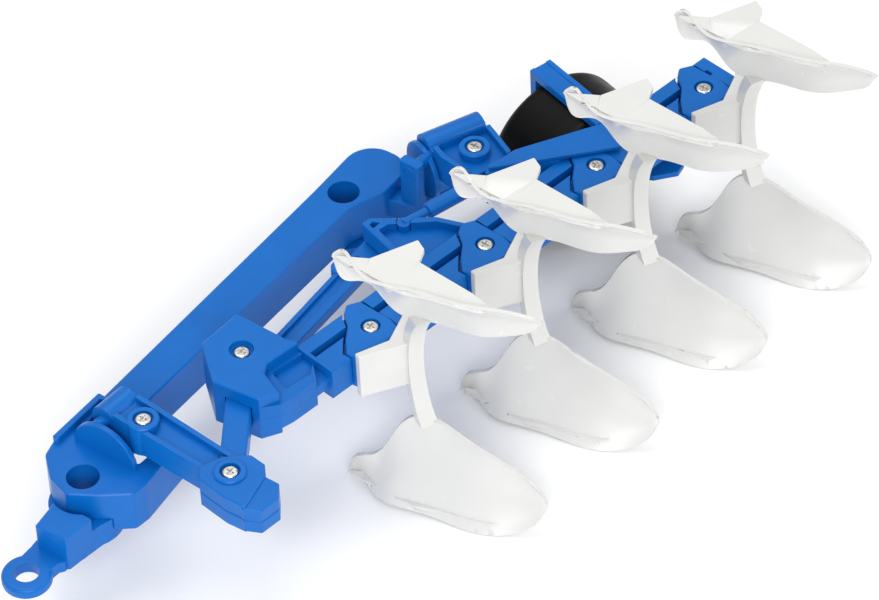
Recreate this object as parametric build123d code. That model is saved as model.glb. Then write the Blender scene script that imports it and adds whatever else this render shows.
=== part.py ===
"""Semi-mounted reversible plough, 1:16 toy model, all sizes in millimetres.

Origin at the centre of the hitch eye, +X rearward along the main beam, +Z up.
The plough bodies stand on the -Y side, in two mirrored sets about the middle plane.
"""
from build123d import *
import math
import os

# ---------------------------------------------------------------- driving dimensions
MID = 31.5                      # height of the middle plane and of the turnover axis
BEAM_TOP = 20.7                 # top of the main beam, just under the turning parts
BEAM_LOW = 2.0                  # underside of the main beam
BLOCK_HALF = 10.5               # half height of the fork block
END_HALF = 6.9                  # half height of the arm's end block
END_TOP = MID + 8.1             # top of the end block's screw boss
LEG_PITCH = 59.9                # distance between neighbouring plough bodies
LEG_COUNT = 4
FIRST_LEG = (142.9, -51.9)      # screw of the first plough body
LEG_LINE = math.radians(-9.41)  # direction of the row of plough bodies
TRAVEL = -27.1                  # direction of the landsides, degrees
SCREW_HEAD = 3.1                # screw head radius
SCREW_SHANK = 1.2
BOSS = 6.1                      # screw boss radius
TURN_FRONT = (62.0, 4.2)        # centre of the front clamp on the turnover axis
TURN_REAR = (250.0, -11.8)      # centre of the rear clamp on the turnover axis
TURN_TILT = math.degrees(math.atan2(TURN_REAR[1] - TURN_FRONT[1], TURN_REAR[0] - TURN_FRONT[0]))
CLAMP_TILT = -25.0              # direction of the rear clamp barrel, degrees
CLAMP_R = 6.0                   # outer radius of both clamp barrels
SHAFT_R = 2.5                   # turnover shaft radius
RUN = 0.08                      # radial clearance of every running fit
PIN_BORE_R = 6.25               # the two vertical pin bores
SPIGOT_R = 8.0                  # radius of the two hollow pivots
SPIGOT_TOP = 8.3                # roof of the drawbar's socket in the headstock
HEAD_BORE = (36.2, 0.8)         # axis of the headstock bore
REAR_BORE = (210.8, 12.2)       # axis of the rear beam bore
EYE_RING_R = 9.4                # outer radius of the hitch eye
EYE_BORE_R = 4.75
EYE_THICK = 5.0
ARM_END = (55.1, -53.9)         # screw at the outer end of the front arm
FORK_SCREW = (104.5, -21.4)
REAR_SCREW = (244.6, -26.3)
WHEEL_CENTRE = (290.2, -40.7, 4.5)
WHEEL_R = 31.0
WHEEL_WIDTH = 33.0
AXLE_R = 2.0
WHEEL_ROLL = -16.5              # direction in which the wheel rolls, degrees
SEAM = 0.04                     # half gap between an upper and a lower shell

PARTS = {}


# ---------------------------------------------------------------- helpers
def keep(name, shape):
    """Store a finished piece under its node name."""
    PARTS[name] = shape


def outline(points, corner=0.0):
    """Flat face of a closed outline with its corners rounded."""
    if corner:
        return make_face(FilletPolyline(*points, radius=corner, close=True))
    return make_face(Polyline(*points, close=True))


def slab(points, low, high, corner=0.0, edge=0.0):
    """Vertical prism of an outline between two heights, with softened top and bottom edges."""
    body = extrude(Pos(0, 0, low) * outline(points, corner), high - low)
    if edge:
        rims = body.edges().group_by(Axis.Z)
        body = chamfer(rims[0] + rims[-1], edge)
    return body


def tube(radius, low, high, at, bore=0.0):
    """Vertical cylinder or ring between two heights."""
    body = Pos(at[0], at[1], (low + high) / 2) * Cylinder(radius, high - low)
    if bore:
        body -= Pos(at[0], at[1], (low + high) / 2) * Cylinder(bore, high - low + 2)
    return body


def bar(start, end, radius):
    """Round bar between two points."""
    line = Edge.make_line(start, end)
    plane = Plane(origin=start, z_dir=line % 0)
    return extrude(plane * Circle(radius), line.length)


def flipped(shape):
    """Copy of a piece mirrored about the middle plane."""
    return mirror(shape, about=Plane.XY.offset(MID))


def local(at, turn, height=0.0):
    """Location of a local frame that is turned about the vertical."""
    return Location((at[0], at[1], height), (0, 0, turn))


def leg_spot(index):
    """Screw position of one plough body."""
    reach = index * LEG_PITCH
    return (FIRST_LEG[0] + reach * math.cos(LEG_LINE), FIRST_LEG[1] + reach * math.sin(LEG_LINE))


def screw(at, top, depth):
    """Cross-recess screw, head under the given height."""
    head = tube(SCREW_HEAD, top - 1.6, top, at)
    head = fillet(head.edges().group_by(Axis.Z)[-1], 0.9)
    shank = tube(SCREW_SHANK, top - depth, top - 1.6, at)
    slot = Pos(at[0], at[1], top - 0.35) * (Box(3.6, 0.75, 0.9) + Box(0.75, 3.6, 0.9))
    return head + shank - slot


def boss_cut(at, top, depth):
    """Recess for a screw head, and the hole for its shank."""
    return tube(SCREW_HEAD + 0.8, top - depth, top + 1, at) + tube(SCREW_SHANK + 0.15, top - 40, top, at)


HALF_UP = Pos(0, 0, MID + SEAM + 100) * Box(1200, 1200, 200)


# ---------------------------------------------------------------- main beam and headstock
def main_beam():
    """Hollow-looking box beam with a rounded rear boss and a vertical pin bore."""
    sides = [(71.8, 5.0), (205.0, 5.2), (219.0, -1.0), (239.4, -1.0), (239.4, 23.6), (205.0, 22.2), (71.8, 20.4)]
    rounding = [0.6, 14, 7, 10, 11.5, 6, 0.6]
    body = slab(sides, BEAM_LOW, BEAM_TOP, corner=rounding, edge=0.5)
    return body - tube(PIN_BORE_R, BEAM_LOW - 1, BEAM_TOP + 1, REAR_BORE)


def headstock():
    """Block that carries the drawbar swivel, the turnover ear and the front of the beam."""
    top = [(26.0, 0.5), (29.4, 10.8), (37.4, 19.6), (45.5, 21.6), (71.8, 21.0), (71.8, 4.8),
           (58.0, 3.0), (53.0, -4.0), (52.5, -12.0), (71.7, -13.0), (71.7, -18.0),
           (46.2, -20.6), (39.6, -19.8), (32.3, -10.3)]
    rounding = [3, 4, 4, 1.2, 0.6, 0.6, 1.2, 1.5, 1.5, 1.2, 1.6, 4, 3, 5]
    body = slab(top, BEAM_LOW, BEAM_TOP, corner=rounding, edge=0.5)
    fence = slab([(44.0, 18.6), (44.0, 21.2), (71.0, 21.0), (71.0, 13.0), (69.2, 13.0), (69.2, 18.6)],
                 BEAM_TOP - 1, 23.7, corner=0.6, edge=0.3)
    pocket = slab([(52.5, 3.0), (52.5, 17.0), (68.0, 17.0), (68.0, 5.6)], 14.0, 30.0, corner=1.0)
    ear_face = Plane(origin=(49.0, 1.0, BEAM_TOP), x_dir=(0, 1, 0), z_dir=(1, 0, 0)) * Circle(14.2)
    ear = extrude(ear_face, 2.2) & Pos(50, 1, BEAM_TOP + 8) * Box(10, 40, 18)
    ear = fillet(ear.edges().filter_by(GeomType.CIRCLE), 0.5)
    swivel = tube(PIN_BORE_R, -10, 60, HEAD_BORE)
    undercut = tube(14.3, BEAM_LOW - 1, SPIGOT_TOP, HEAD_BORE)
    spigot = tube(SPIGOT_R, -EYE_THICK / 2, SPIGOT_TOP, HEAD_BORE)
    return body - undercut + spigot + fence - pocket + ear - swivel - turn_bar(49.8, 80, SHAFT_R + 0.02)


def turn_point(distance):
    """Point on the turnover axis at a distance along it from the front clamp's centre."""
    angle = math.radians(TURN_TILT)
    return (TURN_FRONT[0] + distance * math.cos(angle), TURN_FRONT[1] + distance * math.sin(angle), MID)


def turn_bar(start_x, end_x, radius):
    """Bar on the turnover axis between two stations."""
    return bar(turn_point(start_x - TURN_FRONT[0]), turn_point(end_x - TURN_FRONT[0]), radius)


def front_shaft():
    """Front turnover shaft, held by the ear."""
    return turn_bar(49.8, 70.2, SHAFT_R)


def drawbar():
    """Hitch eye, stepped shank and the swivel hub under the headstock."""
    ring = tube(EYE_RING_R, -EYE_THICK / 2, EYE_THICK / 2, (0, 0))
    ring = fillet(ring.edges().filter_by(GeomType.CIRCLE), 1.6)
    tongue = slab([(5.5, 6.6), (12.0, 6.6), (12.0, -7.0), (5.5, -6.6)], -EYE_THICK / 2, EYE_THICK / 2)
    shank = slab([(9.0, 6.4), (14.0, 7.0), (23.0, 7.2), (23.0, -8.6), (11.5, -8.2), (8.0, -5.5)],
                 -EYE_THICK / 2, EYE_THICK / 2, corner=0.8)
    step = slab([(11.6, 4.2), (26.0, 6.0), (26.0, -11.0), (12.8, -9.4)],
                -EYE_THICK / 2, 14.5, corner=0.8, edge=0.5)
    hub = tube(13.8, -EYE_THICK / 2, 8.0, HEAD_BORE)
    clear = tube(13.1, 8.0, 20.0, HEAD_BORE)
    low_shank = slab([(20.0, 5.4), (30.0, 8.0), (30.0, -11.5), (20.0, -10.0)], -EYE_THICK / 2, 8.0)
    body = ring + tongue + shank + (step - clear) + hub + low_shank
    return body - tube(EYE_BORE_R, -10, 10, (0, 0)) - tube(SPIGOT_R + RUN, -10, 30, HEAD_BORE)


def swivel_ring():
    """Ring under the headstock's spigot that keeps the drawbar on it."""
    return tube(10.5, -EYE_THICK / 2 - 2.0, -EYE_THICK / 2 - 0.2, HEAD_BORE, bore=PIN_BORE_R) + tube(
        SPIGOT_R, -EYE_THICK / 2 - 0.2, -EYE_THICK / 2, HEAD_BORE, bore=PIN_BORE_R)


# ---------------------------------------------------------------- front arm, link and fork block
ARM_TURN = TURN_TILT - 90.0     # the arm stands square to the turnover axis


def arm_upper():
    """Upper shell of the front arm, from the clamp barrel to the end block."""
    spot = local(TURN_FRONT, ARM_TURN)
    half = 6.9
    rim_top = MID + 6.0
    floor = MID + 3.4
    barrel = spot * Pos(0, 0, MID) * Rot(90, 0, 0) * Cylinder(CLAMP_R, 2 * half)
    run = spot * slab([(0, -half), (0, half), (14, half), (54, half - 0.8), (54, 0.8 - half), (14, -half)],
                      MID + SEAM, rim_top, edge=0.0)
    trough = spot * slab([(3.6, 1.8 - half), (3.6, half - 1.8), (52, half - 2.6), (52, 2.6 - half)],
                         floor, rim_top + 5, corner=0.8)
    above = spot * Pos(-10, 0, rim_top + 5) * Box(36, 40, 10)
    crown = spot * Pos(-4.0, 0, floor + 10) * Box(18, 40, 20)
    run = run - trough - above - crown
    boss = tube(BOSS, MID + SEAM, MID + 7.0, CLAMP_SCREW)
    boss = chamfer(boss.edges().group_by(Axis.Z)[-1], 0.5)
    low_cut = spot * slab([(9.0, 2.0 - half), (9.0, half - 2.0), (50, half - 3.0), (50, 3.0 - half)],
                          MID - 1, floor - 1.6)
    plate = slab([(51.3, -42.6), (60.0, -46.4), (66.6, -54.6), (65.6, -61.6), (61.4, -65.2), (44.6, -68.6),
                  (44.2, -60.0), (46.4, -46.4)], MID + SEAM, MID + END_HALF, corner=0.9, edge=0.5)
    toe = slab([(61.6, -61.0), (61.6, -71.0), (55.6, -75.4), (46.6, -74.0), (44.0, -68.0), (46.0, -62.0)],
               MID + SEAM, MID + END_HALF - 1.0, corner=0.9, edge=0.5)
    end_boss = tube(BOSS, MID + SEAM, END_TOP, ARM_END)
    end_boss = chamfer(end_boss.edges().group_by(Axis.Z)[-1], 0.5)
    shell = ((barrel & HALF_UP) + (run - low_cut) + boss + plate + toe + end_boss) - link_room()
    shell -= boss_cut(CLAMP_SCREW, MID + 7.0, 1.7) + boss_cut(ARM_END, END_TOP, 2.0)
    return shell - turn_bar(40, 90, SHAFT_R + RUN)


CLAMP_SCREW = (59.1, -10.8)
LINK_HALF = 4.4                 # half height of the link bar
LINK_W = 9.7


def link_frame():
    """Location of the link's frame, along its length from the arm end to the fork."""
    angle = math.degrees(math.atan2(FORK_SCREW[1] - ARM_END[1], FORK_SCREW[0] - ARM_END[0]))
    return local(ARM_END, angle)


LINK_LONG = math.dist(ARM_END, FORK_SCREW)


def link_outline(grow):
    """Stadium of the link, grown by a clearance."""
    half = LINK_W / 2 + grow
    return Pos(LINK_LONG / 2, 0) * SlotOverall(LINK_LONG + 2 * half, 2 * half)


def link_bar():
    """Flat bar between the front arm and the fork block."""
    body = extrude(Pos(0, 0, MID - LINK_HALF) * link_outline(0), 2 * LINK_HALF)
    body = chamfer(body.edges().group_by(Axis.Z)[0] + body.edges().group_by(Axis.Z)[-1], 0.5)
    body = link_frame() * body
    for at in (ARM_END, FORK_SCREW):
        body -= tube(SCREW_SHANK + 1.6, 0, 80, at)
    return body


def link_room():
    """Slot around the link in the two blocks that hold it."""
    return link_frame() * extrude(Pos(0, 0, MID - LINK_HALF - 0.3) * link_outline(0.3), 2 * LINK_HALF + 0.6)


def fork_upper():
    """Upper shell of the fork block that joins the link to the plough frame."""
    base = slab([(98.9, -7.2), (118.8, -8.4), (118.8, -36.6), (121.6, -39.8), (110.0, -51.5), (98.0, -49.5),
                 (93.4, -48.0), (87.4, -42.3), (85.4, -22.7)],
                MID + SEAM, MID + 6.0, corner=0.8, edge=0.0)
    crown = slab([(98.9, -7.2), (118.8, -8.4), (118.2, -31.0), (119.8, -36.8), (104.2, -33.6), (99.6, -35.8),
                  (94.6, -47.0), (87.4, -42.3), (85.4, -22.7)],
                 MID + 5.0, MID + BLOCK_HALF, corner=0.8, edge=0.5)
    bevel = Pos(FORK_SCREW[0], FORK_SCREW[1], MID + BLOCK_HALF - 0.9) * Cylinder(SCREW_HEAD + 1.6, 2)
    trough = slab([(104.4, -35.2), (125.0, -40.0), (112.0, -47.5), (100.5, -44.5)],
                  MID + 3.4, MID + 9.0, corner=1.0)
    tongue = beam_frame() * Pos(-39, -4.7, MID) * Box(
        20, 13.4, 2 * TONGUE_HALF + 0.2, align=(Align.MIN, Align.MIN, Align.CENTER))
    beam_end = beam_frame() * Pos(BEAM_START - 0.2, -10, MID) * Box(
        40, 30, 40, align=(Align.MIN, Align.MIN, Align.CENTER))
    shell = base + crown - bevel - trough - link_room() - tongue - beam_end
    return shell - boss_cut(FORK_SCREW, MID + BLOCK_HALF, 2.6)


# ---------------------------------------------------------------- plough frame
def beam_frame():
    """Location of the plough beam's frame, at the first plough body."""
    return local(FIRST_LEG, math.degrees(LEG_LINE))


BEAM_HALF = 7.0                 # half height of the plough beam
BEAM_LEFT = 13.0                # beam edges from the line of the screws
BEAM_RIGHT = -6.5
SLOT_LEFT = 6.8                 # groove for the control rod
SLOT_RIGHT = 3.6
GROOVE_FRONT = -24.6            # the groove's front end from the first screw
BEAM_START = -26.0              # the beam's ends from the first and the last screw
BEAM_TAIL = 13.5
TONGUE_HALF = 2.4               # the tongue that enters the fork block
NECK_HALF = 3.2                 # half height where a plough body grips the beam
NECK_RIGHT = -4.6               # the necks' right edge from the line of the screws
NECK_REAR = 8.4                 # the necks' rear end from each screw


def carrier_room():
    """Space that a carrier sweeps in the beam: above and below the neck, and beside it."""
    grown = offset(outline(CARRIER_PLAN), CARRIER_GAP)
    swings = [Rot(0, 0, swing) * grown for swing in (-LEG_SWING, 0, LEG_SWING)]
    room = Part()
    for plan in swings:
        tall = extrude(Pos(0, 0, MID - 20) * plan, 40)
        room += tall - Pos(0, 14 + NECK_RIGHT, MID) * Box(80, 28, 2 * NECK_HALF)
    return room


def plough_beam():
    """Grooved beam that carries the four plough bodies."""
    long = (LEG_COUNT - 1) * LEG_PITCH
    body = Pos(0, 0, MID) * Box(
        long + BEAM_TAIL - BEAM_START, BEAM_LEFT - BEAM_RIGHT, 2 * BEAM_HALF, align=(Align.MIN, Align.MIN, Align.CENTER))
    body = Pos(BEAM_START, BEAM_RIGHT, 0) * body
    body = chamfer(body.edges().filter_by(Axis.X), 0.6)
    body += Pos(-38, -4.5, MID) * Box(20, 13, 2 * TONGUE_HALF, align=(Align.MIN, Align.MIN, Align.CENTER))
    groove = Pos(GROOVE_FRONT, SLOT_RIGHT, MID) * Box(
        long + 9 - GROOVE_FRONT, SLOT_LEFT - SLOT_RIGHT, 40, align=(Align.MIN, Align.MIN, Align.CENTER))
    body -= groove
    for index in range(LEG_COUNT):
        body -= Pos(index * LEG_PITCH, 0, 0) * carrier_room()
        body -= Pos(index * LEG_PITCH, 0, MID) * Cylinder(SCREW_SHANK + 0.1, 40)
    return beam_frame() * body


def control_rod():
    """Rod in the groove that turns the four plough bodies together."""
    long = (LEG_COUNT - 1) * LEG_PITCH
    body = Pos(long / 2, ROD_ARM, MID) * Box(long + 10, SLOT_LEFT - SLOT_RIGHT - 0.6, 2.4)
    for index in range(LEG_COUNT):
        body += Pos(index * LEG_PITCH, ROD_ARM, MID) * Cylinder(0.9, 2 * NECK_HALF + 2.4)
    return beam_frame() * body


ROD_ARM = (SLOT_LEFT + SLOT_RIGHT) / 2


def a_frame():
    """Rimmed triangular bracket between the beam and the hydraulic cylinder."""
    shape = [(187.6, -14.6), (191.6, -15.0), (206.5, -36.0), (211.0, -51.4), (184.5, -46.9), (181.6, -33.0)]
    plate = slab(shape, MID - 1.5, MID + 1.2, corner=1.2)
    rim = slab(shape, MID - 3.2, MID + 5.0, corner=1.2, edge=0.4)
    inner = slab([(188.2, -22.0), (192.6, -23.0), (204.2, -37.4), (207.6, -48.4), (186.6, -44.8), (184.0, -33.6)],
                 MID - 10, MID + 10, corner=0.8)
    eye = slab([(188.7, -17.4), (190.7, -17.4), (191.8, -20.2), (187.8, -19.8)], MID - 10, MID + 10, corner=0.3)
    body = (rim - inner) + plate - eye
    body -= tube(CARRIER_REACH, 0, 80, leg_spot(1))
    return body - bar(ROD_TIP, BARREL_TIP, 2.3) - tube(3.0, MID + 1.2, 80, ROD_TIP)


def strut():
    """Grooved bar from the fork block to the bracket, below the middle plane."""
    body = slab([(119.4, -27.4), (119.4, -18.0), (193.0, -14.6), (193.0, -24.6)], MID - 9.0, MID - 4.2,
                corner=1.0, edge=0.4)
    groove = slab([(124.0, -24.2), (124.0, -20.0), (180.0, -17.2), (180.0, -21.4)], MID - 6.0, MID, corner=0.6)
    disc = tube(3.4, MID - 9.0, MID - 3.6, (171.0, -16.0))
    return body - groove + disc


def brace_bar():
    """Bar from the rear clamp to the third plough body, carried over the beam."""
    plan = [(233.0, -38.6), (249.0, -42.6), (284.0, -64.6), (282.8, -67.8), (279.6, -69.4), (272.2, -74.8)]
    over = slab(plan, MID + BEAM_HALF + 1.3, MID + BEAM_HALF + 3.6, corner=0.8, edge=0.5)
    web = slab([(232.6, -39.4), (240.0, -37.6), (261.4, -52.6), (260.2, -59.6), (254.6, -58.6)],
               MID - 7.5, MID + BEAM_HALF + 1.4, corner=0.7)
    return over + web


# ---------------------------------------------------------------- rear clamp and hydraulic cylinder
def rear_clamp_upper():
    """Upper shell of the rear clamp: barrel, rimmed trough and screw boss."""
    spot = local(TURN_REAR, CLAMP_TILT)
    barrel = spot * Pos(0, 0, MID) * Rot(0, 90, 0) * Cylinder(CLAMP_R, 2 * CLAMP_LONG)
    wide = CLAMP_LONG
    body = spot * slab([(-wide, 0), (wide, 0), (wide, -12), (12.0, -25.0), (-7.0, -27.0), (-9.6, -24.5), (-wide, -14)],
                       MID + SEAM, MID + 6.6, corner=0.6)
    trough = spot * slab([(2 - wide, -7.4), (wide - 2, -7.4), (wide - 2, -12), (10.0, -28.0), (-6.0, -30.0),
                          (-8.0, -23.6), (2 - wide, -13.4)], MID + 3.4, MID + 12, corner=0.6)
    crown = spot * Pos(0, -3.6, MID + 12) * Box(60, 7.4, 16.6)
    hollow = spot * slab([(2.2 - wide, -7.6), (wide - 2.2, -7.6), (wide - 2.2, -12), (9.6, -24.0), (-6.0, -25.0),
                          (-8.0, -23.0), (2.2 - wide, -13.2)], MID - 1, MID + 2.0)
    post = tube(3.4, MID + SEAM, MID + 4, REAR_SCREW)
    boss = tube(BOSS, MID + 2.0, MID + 7.2, REAR_SCREW)
    boss = chamfer(boss.edges().group_by(Axis.Z)[-1], 0.5)
    shell = (barrel & HALF_UP) + (body - trough - crown - hollow) + post + boss
    shell -= boss_cut(REAR_SCREW, MID + 7.2, 1.7)
    return shell - turn_bar(225, 256, SHAFT_R + RUN)


CLAMP_LONG = 12.5               # half length of the rear clamp barrel


def end_disc():
    """Rounded cheek at the front end of the rear clamp."""
    face = Plane(origin=(0, 0, 0), x_dir=(0, 1, 0), z_dir=(1, 0, 0)) * Circle(12.0)
    disc = extrude(face, 2.2)
    disc = fillet(disc.edges().filter_by(GeomType.CIRCLE), 0.5)
    disc = local(TURN_REAR, CLAMP_TILT) * Pos(-CLAMP_LONG - 2.6, -1.5, MID - 9.0) * disc
    return disc - turn_bar(225, 256, SHAFT_R + RUN)


def rear_bracket():
    """Arm from the rear boss of the beam to the turnover axis."""
    post = slab([(224.4, -4.6), (228.8, -5.0), (228.8, -14.2), (224.4, -13.8)], 6.0, MID + 4.4, corner=1.2, edge=0.4)
    arm = slab([(221.0, 2.0), (232.0, 2.0), (228.8, -14.2), (224.4, -13.8)], 6.0, 15.0, corner=0.8, edge=0.4)
    return arm + post - main_beam() - turn_bar(215, 240, SHAFT_R + 0.02)


def rear_shaft():
    """Rear turnover shaft, held by the bracket."""
    return turn_bar(224.8, 254.0, SHAFT_R)


ROD_TIP = (197.4, -27.0, MID + 3.4)
BARREL_TIP = (208.0, -30.2, MID + 3.4)
BARREL_TAIL = (229.4, -36.7, MID + 3.4)


def cylinder_barrel():
    """Barrel of the hydraulic cylinder with its end clevis."""
    body = bar(BARREL_TIP, BARREL_TAIL, 3.15)
    body = fillet(body.edges().filter_by(GeomType.CIRCLE), 0.5)
    clevis = tube(3.0, MID - 1.0, MID + 3.4, (230.4, -37.0))
    along = 9.0
    bore = bar(BARREL_TIP, (BARREL_TIP[0] + along, BARREL_TIP[1] - along * 0.304, BARREL_TIP[2]), 1.95)
    return body + clevis - bore


def cylinder_rod():
    """Piston rod, from the triangular bracket into the barrel."""
    end = (BARREL_TIP[0] + 8.0, BARREL_TIP[1] - 8.0 * 0.304, BARREL_TIP[2])
    return bar(ROD_TIP, end, 1.85) + tube(2.6, MID + 1.3, MID + 4.4, ROD_TIP)


# ---------------------------------------------------------------- plough bodies
CARRIER_PLAN = [(1.6, 14.6), (6.4, 12.2), (7.6, -3.0), (6.4, -9.0), (-5.4, -11.2), (-15.2, -8.4), (-16.2, -4.0),
                (-11.4, 1.6), (-6.0, 6.0), (-2.4, 11.8)]
CARRIER_TOP = 8.0               # half height of the blue carriers
HUB_HALF = 10.4                 # half height of the white legs' hubs
CARRIER_GAP = 0.3
CARRIER_REACH = 15.6            # swept radius of a carrier about its screw
LEG_SWING = 5.0                 # the plough bodies turn this far each way, degrees


def carrier():
    """Blue carrier that grips the beam around one screw, in beam coordinates."""
    body = slab(CARRIER_PLAN, MID - CARRIER_TOP, MID + CARRIER_TOP, corner=1.0, edge=0.5)
    room = Pos(0, 19.0, MID) * Box(60, 50, 2 * (NECK_HALF + CARRIER_GAP))
    body -= room
    body -= Pos(0, 0, MID) * Cylinder(SCREW_SHANK + RUN, 40)
    body -= Pos(0, 0, MID + CARRIER_TOP) * Cylinder(SCREW_HEAD + 0.7, 4.2)
    body -= Pos(0, ROD_ARM, MID) * Cylinder(1.1, 2 * NECK_HALF + 4.2)
    return body


def leg_hub():
    """White hub and upright post of one plough body, in travel coordinates."""
    strip = [(-12.6, -12.4), (1.6, -12.2), (13.0, -1.8), (18.6, 8.9), (21.2, 7.6), (15.6, -4.4), (13.0, -17.2),
             (5.0, -17.6), (-12.2, -15.2)]
    hub = slab(strip, MID - HUB_HALF, MID + HUB_HALF, corner=0.5, edge=0.4)
    levels = [(-27.0, 10.0, -23.4, 7.0, 5.4), (-16.0, 9.4, -18.4, 6.4, 5.0), (0.0, 9.2, -16.2, 6.2, 5.0),
              (16.0, 9.4, -18.4, 6.4, 5.0), (27.0, 10.0, -23.4, 7.0, 5.4)]
    rings = [Pos(x, y, MID + z) * Rectangle(wide, deep) for z, x, y, wide, deep in levels]
    return hub + loft(rings)


SOLE = 57.0                     # height of a sole from the middle plane
BOARD_STATIONS = [              # lower edge and upper edge: back, side, drop from the middle plane
    ((-16.6, 6.4, 56.6), (-15.6, 6.2, 54.0)),
    ((-12.4, 17.0, 57.2), (-7.6, 12.6, 45.0)),
    ((-6.8, 31.0, 57.5), (0.4, 16.4, 32.5)),
    ((1.6, 40.6, 58.0), (7.4, 20.4, 25.5)),
    ((8.6, 50.6, 58.6), (14.2, 28.6, 26.6)),
    ((17.6, 59.8, 58.8), (21.2, 43.0, 30.0)),
    ((26.4, 65.0, 56.6), (28.6, 53.2, 34.4)),
    ((33.6, 67.0, 52.0), (34.2, 60.6, 39.4)),
    ((37.4, 65.8, 47.6), (36.8, 63.8, 44.2)),
]
BOARD_THICK = 1.7
BOARD_SAG = 2.2                 # hollow of the working face between its two edges


def mouldboard_lower():
    """Curved board and sole of the lower set, in travel coordinates."""
    sections = []
    for low, high in BOARD_STATIONS:
        bottom = Vector(low[0], -low[1], MID - low[2])
        top = Vector(high[0], -high[1], MID - high[2])
        middle = (bottom + top) * 0.5 + Vector(0.74, 0.67, 0) * BOARD_SAG * min(1.0, (top - bottom).length / 20)
        back = Vector(0.74, 0.67, 0) * BOARD_THICK
        front_edge = ThreePointArc(bottom, middle, top)
        rear_edge = ThreePointArc(top + back, middle + back, bottom + back)
        sections.append(Wire([front_edge, Line(top, top + back), rear_edge, Line(bottom + back, bottom)]))
    board = Solid.make_loft(sections)
    sole = slab([(-15.8, -6.9), (-13.4, -13.6), (-9.8, -20.0), (-6.6, -28.0), (-2.6, -35.0), (4.4, -42.0),
                 (10.6, -50.0), (17.0, -57.0), (21.5, -58.6), (19.0, -48.9), (9.6, -25.0), (14.2, -20.0),
                 (14.4, -14.6), (-5.2, -14.6)], MID - SOLE, MID - SOLE + 2.0, corner=0.4)
    return board + sole


def beam_room(spot):
    """Space that the beam behind a plough body needs while the body swings."""
    room = Pos(NECK_REAR - 0.6, BEAM_RIGHT - 0.5, MID) * Box(
        30, 40, 2 * (BEAM_HALF + 0.4), align=(Align.MIN, Align.MIN, Align.CENTER))
    swings = [local(spot, math.degrees(LEG_LINE) + swing) * room for swing in (-LEG_SWING, 0, LEG_SWING)]
    return swings[0] + swings[1] + swings[2]


def leg_pieces(index):
    """The four pieces of one plough body, in place."""
    spot = leg_spot(index)
    blue = local(spot, math.degrees(LEG_LINE))
    white = local(spot, TRAVEL)
    grip = blue * carrier()
    hub = white * leg_hub() - grip - beam_room(spot)
    lower = white * mouldboard_lower() - hub
    return grip, hub, lower, flipped(lower)


# ---------------------------------------------------------------- wheel carriage
def wheel_spot():
    """Location of the wheel, +X in the rolling direction and +Y along the axle."""
    return Location(WHEEL_CENTRE, (0, 0, WHEEL_ROLL))


def ring_y(radius, wide, bore=0.0):
    """Ring about the wheel's axle."""
    body = Rot(90, 0, 0) * Cylinder(radius, wide)
    if bore:
        body -= Rot(90, 0, 0) * Cylinder(bore, wide + 2)
    return body


def tyre():
    """Smooth wide tyre."""
    section = Pos((WHEEL_R + 15.0) / 2, 0) * RectangleRounded(WHEEL_R - 15.0, WHEEL_WIDTH, 4.5)
    return wheel_spot() * revolve(section, Axis.Y)


def wheel_rim():
    """Rim that fills the tyre, with a bore for the axle."""
    body = ring_y(15.0, 2 * 14.0) + ring_y(5.0, WHEEL_WIDTH - 1.0)
    return wheel_spot() * (body - ring_y(AXLE_R + RUN, 60))


def axle():
    """Axle through the rim and both fork legs."""
    return wheel_spot() * ring_y(AXLE_R, 2 * (WHEEL_WIDTH / 2 + 4.4))


def wheel_fork():
    """Arch over the wheel with its two legs, a foot plate and the swivel arm."""
    gap = WHEEL_WIDTH / 2 + 0.9
    out = gap + 3.2
    top = 38.9 - WHEEL_CENTRE[2]
    frame = Pos(0, 0, top - 1.4) * Box(10.0, 2 * out, 2.8)
    frame = frame + Pos(3.9, 0, top - 0.4) * Box(2.0, 2 * out, 1.6) + Pos(-3.9, 0, top - 0.4) * Box(2.0, 2 * out, 1.6)
    for side in (1, -1):
        leg = Pos(0, side * (gap + 1.6), top / 2 - 1.0) * Box(10.0, 3.2, top - 2.0)
        frame += leg + Pos(0, side * (gap + 1.6), 0) * Rot(90, 0, 0) * Cylinder(6.0, 3.2)
    frame -= ring_y(AXLE_R, 80)
    frame = wheel_spot() * frame
    foot = slab([(281.0, -59.4), (289.4, -61.6), (300.6, -74.6), (301.0, -85.2), (295.2, -86.2), (287.6, -79.6)],
                14.0, 16.4, corner=0.8, edge=0.4)
    return frame + foot


def wheel_arm():
    """Swivel arm from the kingpin to the fork, under the beam and the clamp."""
    hub = tube(12.0, -3.4, 1.6, REAR_BORE)
    run = slab([(212.0, 22.0), (226.0, 17.2), (238.0, 9.4), (250.0, 3.4), (290.0, -8.6), (298.0, -14.0),
                (297.0, -19.2), (290.6, -19.8), (246.0, -6.8), (236.0, -1.2), (226.0, 5.0), (208.0, 2.4)],
               -3.4, 1.6, corner=2.0, edge=0.5)
    rise = slab([(288.0, -10.0), (298.0, -14.0), (297.0, -19.2), (290.6, -19.8), (286.0, -17.0)], -3.4, 8.0,
                corner=1.0, edge=0.5)
    wheel = wheel_spot() * ring_y(WHEEL_R + 1.0, WHEEL_WIDTH + 1.2)
    return hub + run + rise - wheel - wheel_fork() - tube(SPIGOT_R + RUN, -10, 10, REAR_BORE)


def kingpin():
    """Hollow kingpin pressed into the rear bore of the beam."""
    body = tube(SPIGOT_R, -3.8, BEAM_LOW, REAR_BORE) + tube(10.5, -5.4, -3.8, REAR_BORE)
    return body - tube(PIN_BORE_R, -10, 10, REAR_BORE)


def write_all():
    os.makedirs("parts", exist_ok=True)
    for name, shape in PARTS.items():
        export_step(shape, f"parts/{name}.step")


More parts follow.
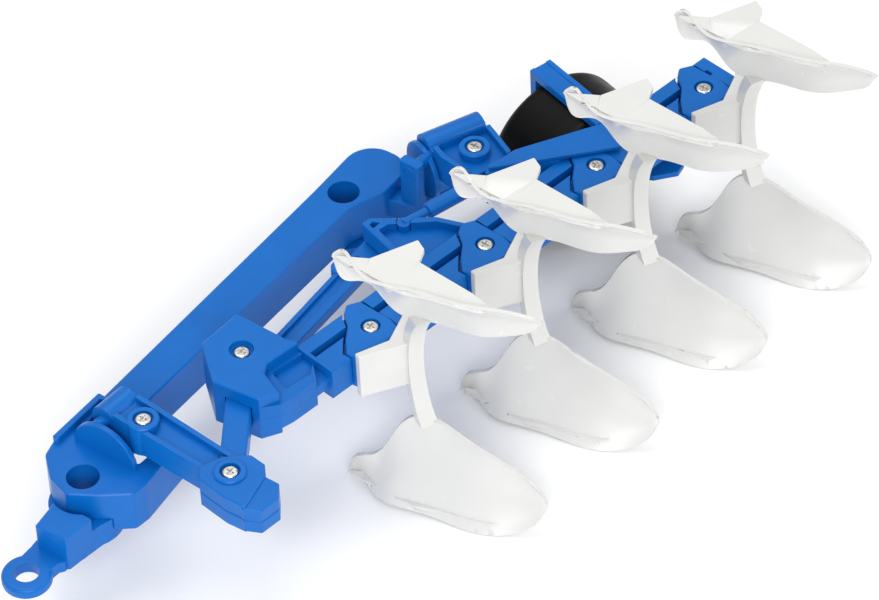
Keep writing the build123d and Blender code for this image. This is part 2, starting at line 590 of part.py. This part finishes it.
keep("main_beam", main_beam())
keep("headstock", headstock())
keep("front_turn_shaft", front_shaft())
keep("drawbar", drawbar())
keep("swivel_ring", swivel_ring())
keep("front_arm_upper", arm_upper())
keep("front_arm_lower", flipped(arm_upper()))
keep("link_bar", link_bar())
keep("fork_block_upper", fork_upper())
keep("fork_block_lower", flipped(fork_upper()))
beam = plough_beam()
keep("plough_beam", beam)
keep("control_rod", control_rod())
keep("a_frame_bracket", a_frame() - beam)
keep("adjusting_strut", strut())
keep("brace_bar", brace_bar() - beam)
keep("rear_clamp_upper", rear_clamp_upper())
keep("rear_clamp_lower", flipped(rear_clamp_upper()))
keep("rear_end_disc", end_disc())
keep("rear_bracket", rear_bracket())
keep("rear_turn_shaft", rear_shaft())
keep("cylinder_barrel", cylinder_barrel())
keep("cylinder_rod", cylinder_rod())
for number in range(1, LEG_COUNT + 1):
    grip, hub, lower, upper = leg_pieces(number - 1)
    keep(f"leg_carrier_{number}", grip)
    keep(f"leg_hub_{number}", hub)
    keep(f"mouldboard_lower_{number}", lower)
    keep(f"mouldboard_upper_{number}", upper)
keep("tyre", tyre())
keep("wheel_rim", wheel_rim())
keep("wheel_axle", axle())
keep("wheel_fork", wheel_fork())
keep("wheel_arm", wheel_arm())
keep("kingpin", kingpin())
clamp_tops = [(CLAMP_SCREW, MID + 7.0), (ARM_END, END_TOP - 0.3), (FORK_SCREW, MID + BLOCK_HALF - 0.9),
              (REAR_SCREW, MID + 7.2)]
keep("clamp_screws", Compound(children=[screw(at, top - 0.1, 15.0) for at, top in clamp_tops]))
keep("leg_screws", Compound(children=[screw(leg_spot(i), MID + CARRIER_TOP - 0.2, 14.0) for i in range(LEG_COUNT)]))
write_all()
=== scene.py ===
import math

import bpy
from mathutils import Matrix, Vector


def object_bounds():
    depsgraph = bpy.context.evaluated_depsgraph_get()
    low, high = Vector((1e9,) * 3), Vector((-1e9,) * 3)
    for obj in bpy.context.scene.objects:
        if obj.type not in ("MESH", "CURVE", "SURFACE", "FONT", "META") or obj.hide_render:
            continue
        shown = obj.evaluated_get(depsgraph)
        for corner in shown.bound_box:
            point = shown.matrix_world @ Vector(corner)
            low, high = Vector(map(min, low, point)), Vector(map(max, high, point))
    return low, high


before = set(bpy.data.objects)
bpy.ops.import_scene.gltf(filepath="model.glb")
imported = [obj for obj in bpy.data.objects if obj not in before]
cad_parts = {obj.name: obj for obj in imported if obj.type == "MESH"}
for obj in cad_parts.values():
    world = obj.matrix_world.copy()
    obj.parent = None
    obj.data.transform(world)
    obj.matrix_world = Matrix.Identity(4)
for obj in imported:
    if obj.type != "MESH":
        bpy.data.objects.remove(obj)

MM = 0.001
CAD_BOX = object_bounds()

# nodes by their plastic or metal; all other nodes are blue
WHITE_NODES = [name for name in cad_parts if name.startswith(("mouldboard", "leg_hub"))]
OTHER_NODES = ("tyre", "wheel_rim", "wheel_axle", "clamp_screws", "leg_screws")
BLUE_NODES = [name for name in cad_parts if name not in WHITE_NODES and name not in OTHER_NODES]

# edges, in metres and radians
EDGE_WEAR_AND_SHEEN_WIDTH = 0.5 * MM          # stripe along a sharp edge that is painted lighter: partly rubbed wear, partly painted highlight
BLUE_ROUND = 0.35 * MM           # rounding of the moulded edges
WHITE_ROUND = 0.3 * MM
RIM_ROUND = 0.3 * MM
AXLE_ROUND = 0.2 * MM
WELD_GAP = 0.001 * MM
FLAT_ANGLE = math.radians(0.4)   # faces nearer to one plane than this are joined before rounding
SHARP_ANGLE = math.radians(25)   # edges sharper than this are rounded
ROUND_STEPS = 3

# stage and light
FLOOR_SPOT = (0.17, -0.06)
FLOOR_GAP = 0.3 * MM             # the floor lies this far below the object
FLOOR_SIZE = 8.0
SKY = 0.62                       # strength of the even light from all around
AIM = (0.17, -0.06, 0.02)        # the lamps point here

# camera, in metres
TARGET = Vector((0.1744, -0.0602, 0.0315))
FORWARD = Vector((0.5648, 0.4396, -0.6983)).normalized()
ROLL = math.radians(-2.91)
DISTANCE = 1.8651
SENSOR = 36.0                    # sensor width and focal length in millimetres
FOCAL = 204.778
FAR = 50.0


# ---------------------------------------------------------------- materials
def new_material(name):
    """Empty node material with a Principled shader; returns the material, its tree and the shader."""
    material = bpy.data.materials.new(name)
    material.use_nodes = True
    tree = material.node_tree
    shader = tree.nodes["Principled BSDF"]
    return material, tree, shader


def noise(tree, scale, detail, rough=0.5):
    """Noise in object coordinates; scale is in features per metre."""
    place = tree.nodes.new("ShaderNodeTexCoord")
    pattern = tree.nodes.new("ShaderNodeTexNoise")
    pattern.inputs["Scale"].default_value = scale
    pattern.inputs["Detail"].default_value = detail
    pattern.inputs["Roughness"].default_value = rough
    tree.links.new(place.outputs["Object"], pattern.inputs["Vector"])
    return pattern.outputs["Fac"]


def spread(tree, value, low, high, start=0.3, end=0.7):
    """Map a texture value to the range low to high."""
    node = tree.nodes.new("ShaderNodeMapRange")
    node.inputs["From Min"].default_value = start
    node.inputs["From Max"].default_value = end
    node.inputs["To Min"].default_value = low
    node.inputs["To Max"].default_value = high
    tree.links.new(value, node.inputs["Value"])
    return node.outputs["Result"]


def mix_colour(tree, factor, first, second):
    """Mix two colours by a factor; each is an RGB tuple or an output socket."""
    node = tree.nodes.new("ShaderNodeMix")
    node.data_type = "RGBA"
    tree.links.new(factor, node.inputs["Factor"])
    for socket, value in ((node.inputs["A"], first), (node.inputs["B"], second)):
        if isinstance(value, tuple):
            socket.default_value = (*value, 1.0)
        else:
            tree.links.new(value, socket)
    return node.outputs["Result"]


def edge_mask(tree, radius, start, end):
    """1 along sharp edges and 0 on flats: how far a rounded normal leans from the true one."""
    rounded = tree.nodes.new("ShaderNodeBevel")
    rounded.samples = 6
    rounded.inputs["Radius"].default_value = radius
    geometry = tree.nodes.new("ShaderNodeNewGeometry")
    lean = tree.nodes.new("ShaderNodeVectorMath")
    lean.operation = "DOT_PRODUCT"
    tree.links.new(rounded.outputs["Normal"], lean.inputs[0])
    tree.links.new(geometry.outputs["Normal"], lean.inputs[1])
    return spread(tree, lean.outputs["Value"], 1.0, 0.0, 1.0 - end, 1.0 - start)


def bump(tree, shader, height, distance, strength, under=None):
    """Add a bump layer to the shader's normal."""
    node = tree.nodes.new("ShaderNodeBump")
    node.inputs["Distance"].default_value = distance
    node.inputs["Strength"].default_value = strength
    tree.links.new(height, node.inputs["Height"])
    if under:
        tree.links.new(under, node.inputs["Normal"])
    tree.links.new(node.outputs["Normal"], shader.inputs["Normal"])
    return node.outputs["Normal"]


def moulded_plastic(name, deep, plain, worn_and_sheen, rough, shine):
    """Injection-moulded plastic: cloudy colour, fine moulding grain and sharp edges painted slightly
    lighter, partly as rubbed wear and partly as painted highlight.
    """
    material, tree, shader = new_material(name)
    cloud = spread(tree, noise(tree, 45.0, 4.0), 0.0, 1.0)
    base = mix_colour(tree, cloud, deep, plain)
    patchy = spread(tree, noise(tree, 300.0, 2.0), 0.1, 0.7, 0.4, 0.65)
    # sharp edges get the lighter colour: partly rubbed wear, partly painted highlight
    edge = edge_mask(tree, EDGE_WEAR_AND_SHEEN_WIDTH, 0.02, 0.3)
    rubbed_and_sheen = tree.nodes.new("ShaderNodeMath")
    rubbed_and_sheen.operation = "MULTIPLY"
    tree.links.new(edge, rubbed_and_sheen.inputs[0])
    tree.links.new(patchy, rubbed_and_sheen.inputs[1])
    tree.links.new(mix_colour(tree, rubbed_and_sheen.outputs[0], base, worn_and_sheen), shader.inputs["Base Color"])
    satin = spread(tree, noise(tree, 120.0, 5.0, 0.6), *rough)
    tree.links.new(satin, shader.inputs["Roughness"])
    waves = bump(tree, shader, noise(tree, 40.0, 0.0), 0.0002, 0.2)
    bump(tree, shader, noise(tree, 1500.0, 1.0), 0.00001, 0.25, waves)
    shader.inputs["IOR"].default_value = 1.5
    shader.inputs["Specular IOR Level"].default_value = shine
    return material


def tyre_rubber():
    """Black moulded tyre with a satin skin."""
    material, tree, shader = new_material("tyre_black")
    cloud = spread(tree, noise(tree, 60.0, 4.0), 0.0, 1.0)
    tree.links.new(mix_colour(tree, cloud, (0.0008, 0.0008, 0.0009), (0.002, 0.002, 0.002)),
                   shader.inputs["Base Color"])
    shader.inputs["Specular IOR Level"].default_value = 0.12
    tree.links.new(spread(tree, noise(tree, 150.0, 4.0), 0.34, 0.5), shader.inputs["Roughness"])
    bump(tree, shader, noise(tree, 1800.0, 2.0), 0.00003, 0.6)
    return material


def zinc():
    """Bright zinc-plated steel with a cloudy tone and fine pitting."""
    material, tree, shader = new_material("zinc_plate")
    cloud = spread(tree, noise(tree, 700.0, 4.0), 0.0, 1.0)
    tree.links.new(mix_colour(tree, cloud, (0.45, 0.44, 0.42), (0.86, 0.85, 0.83)),
                   shader.inputs["Base Color"])
    shader.inputs["Metallic"].default_value = 1.0
    tree.links.new(spread(tree, noise(tree, 1500.0, 3.0), 0.18, 0.4), shader.inputs["Roughness"])
    bump(tree, shader, noise(tree, 1200.0, 3.0), 0.00006, 0.6)
    return material


# the third colour of each plastic is its lighter edge colour: partly rubbed wear, partly painted
# highlight
BLUE = moulded_plastic("blue_abs", (0.0008, 0.118, 0.45), (0.001, 0.133, 0.495), (0.008, 0.20, 0.62),
                       rough=(0.28, 0.38), shine=0.25)
WHITE = moulded_plastic("white_abs", (0.64, 0.64, 0.625), (0.67, 0.67, 0.65), (0.72, 0.72, 0.70),
                        rough=(0.18, 0.28), shine=0.5)
TYRE = tyre_rubber()
BLACK = moulded_plastic("black_abs", (0.002, 0.002, 0.002), (0.004, 0.004, 0.004), (0.01, 0.01, 0.01),
                        rough=(0.3, 0.42), shine=0.2)
ZINC = zinc()


# ---------------------------------------------------------------- CAD nodes that stay
def soften(obj, width, curved):
    """Round the sharp edges of a CAD node; the faces of a curved one aren't joined first."""
    weld = obj.modifiers.new("weld", "WELD")
    weld.merge_threshold = WELD_GAP
    if not curved:
        flat = obj.modifiers.new("flat", "DECIMATE")
        flat.decimate_type = "DISSOLVE"
        flat.angle_limit = FLAT_ANGLE
    rounding = obj.modifiers.new("rounding", "BEVEL")
    rounding.width = width
    rounding.segments = ROUND_STEPS
    rounding.limit_method = "ANGLE"
    rounding.angle_limit = SHARP_ANGLE
    rounding.harden_normals = True
    for polygon in obj.data.polygons:
        polygon.use_smooth = True
    normals = obj.modifiers.new("normals", "WEIGHTED_NORMAL")
    normals.keep_sharp = True


def dress(name, material, width, curved=False):
    """Give a CAD node its finish and its rounded edges."""
    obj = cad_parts[name]
    obj.data.materials.clear()
    obj.data.materials.append(material)
    if width:
        soften(obj, width, curved)


for node in BLUE_NODES:
    dress(node, BLUE, BLUE_ROUND)
for node in WHITE_NODES:
    dress(node, WHITE, WHITE_ROUND, curved=True)
dress("tyre", TYRE, 0)
dress("wheel_rim", BLACK, RIM_ROUND)
dress("wheel_axle", BLACK, AXLE_ROUND)
dress("clamp_screws", ZINC, 0)
dress("leg_screws", ZINC, 0)


# ---------------------------------------------------------------- stage, light and camera
def studio():
    """Pale floor and even light from the world all around."""
    ground = CAD_BOX[0].z - FLOOR_GAP
    bpy.ops.mesh.primitive_plane_add(size=FLOOR_SIZE, location=(*FLOOR_SPOT, ground))
    floor = bpy.context.object
    floor.name = "floor"
    material, tree, shader = new_material("floor_paper")
    cloud = spread(tree, noise(tree, 4.0, 2.0), 0.0, 1.0)
    tree.links.new(mix_colour(tree, cloud, (0.93, 0.93, 0.93), (0.95, 0.95, 0.95)),
                   shader.inputs["Base Color"])
    shader.inputs["Roughness"].default_value = 0.9
    floor.data.materials.append(material)
    world = bpy.data.worlds.new("studio")
    bpy.context.scene.world = world
    world.use_nodes = True
    background = world.node_tree.nodes["Background"]
    background.inputs["Color"].default_value = (1.0, 1.0, 1.0, 1.0)
    background.inputs["Strength"].default_value = SKY


def panel(name, spot, size, power):
    """Soft rectangular lamp that points at the object."""
    data = bpy.data.lights.new(name, "AREA")
    data.shape = "RECTANGLE"
    data.size, data.size_y = size
    data.energy = power
    lamp = bpy.data.objects.new(name, data)
    lamp.location = spot
    lamp.rotation_euler = (Vector(AIM) - Vector(spot)).to_track_quat("-Z", "Y").to_euler()
    bpy.context.scene.collection.objects.link(lamp)


def photographer():
    """Camera at the viewing angle of the reference, far away with a long lens."""
    side = FORWARD.cross(Vector((0, 0, 1))).normalized()
    upward = side.cross(FORWARD)
    right = side * math.cos(ROLL) + upward * math.sin(ROLL)
    up = upward * math.cos(ROLL) - side * math.sin(ROLL)
    data = bpy.data.cameras.new("camera")
    data.sensor_width = SENSOR
    data.lens = FOCAL
    data.clip_end = FAR
    camera = bpy.data.objects.new("camera", data)
    basis = Matrix((right, up, -FORWARD)).transposed().to_4x4()
    basis.translation = TARGET - FORWARD * DISTANCE
    camera.matrix_world = basis
    bpy.context.scene.collection.objects.link(camera)
    bpy.context.scene.camera = camera


studio()
panel("key", (-0.9, -0.8, 0.9), (1.0, 0.8), 15.0)
panel("top", (0.3, 0.4, 1.5), (1.2, 0.9), 9.0)
panel("fill", (0.9, -0.9, 0.7), (0.8, 0.8), 3.0)
photographer()
bpy.context.scene.view_settings.view_transform = "Standard"
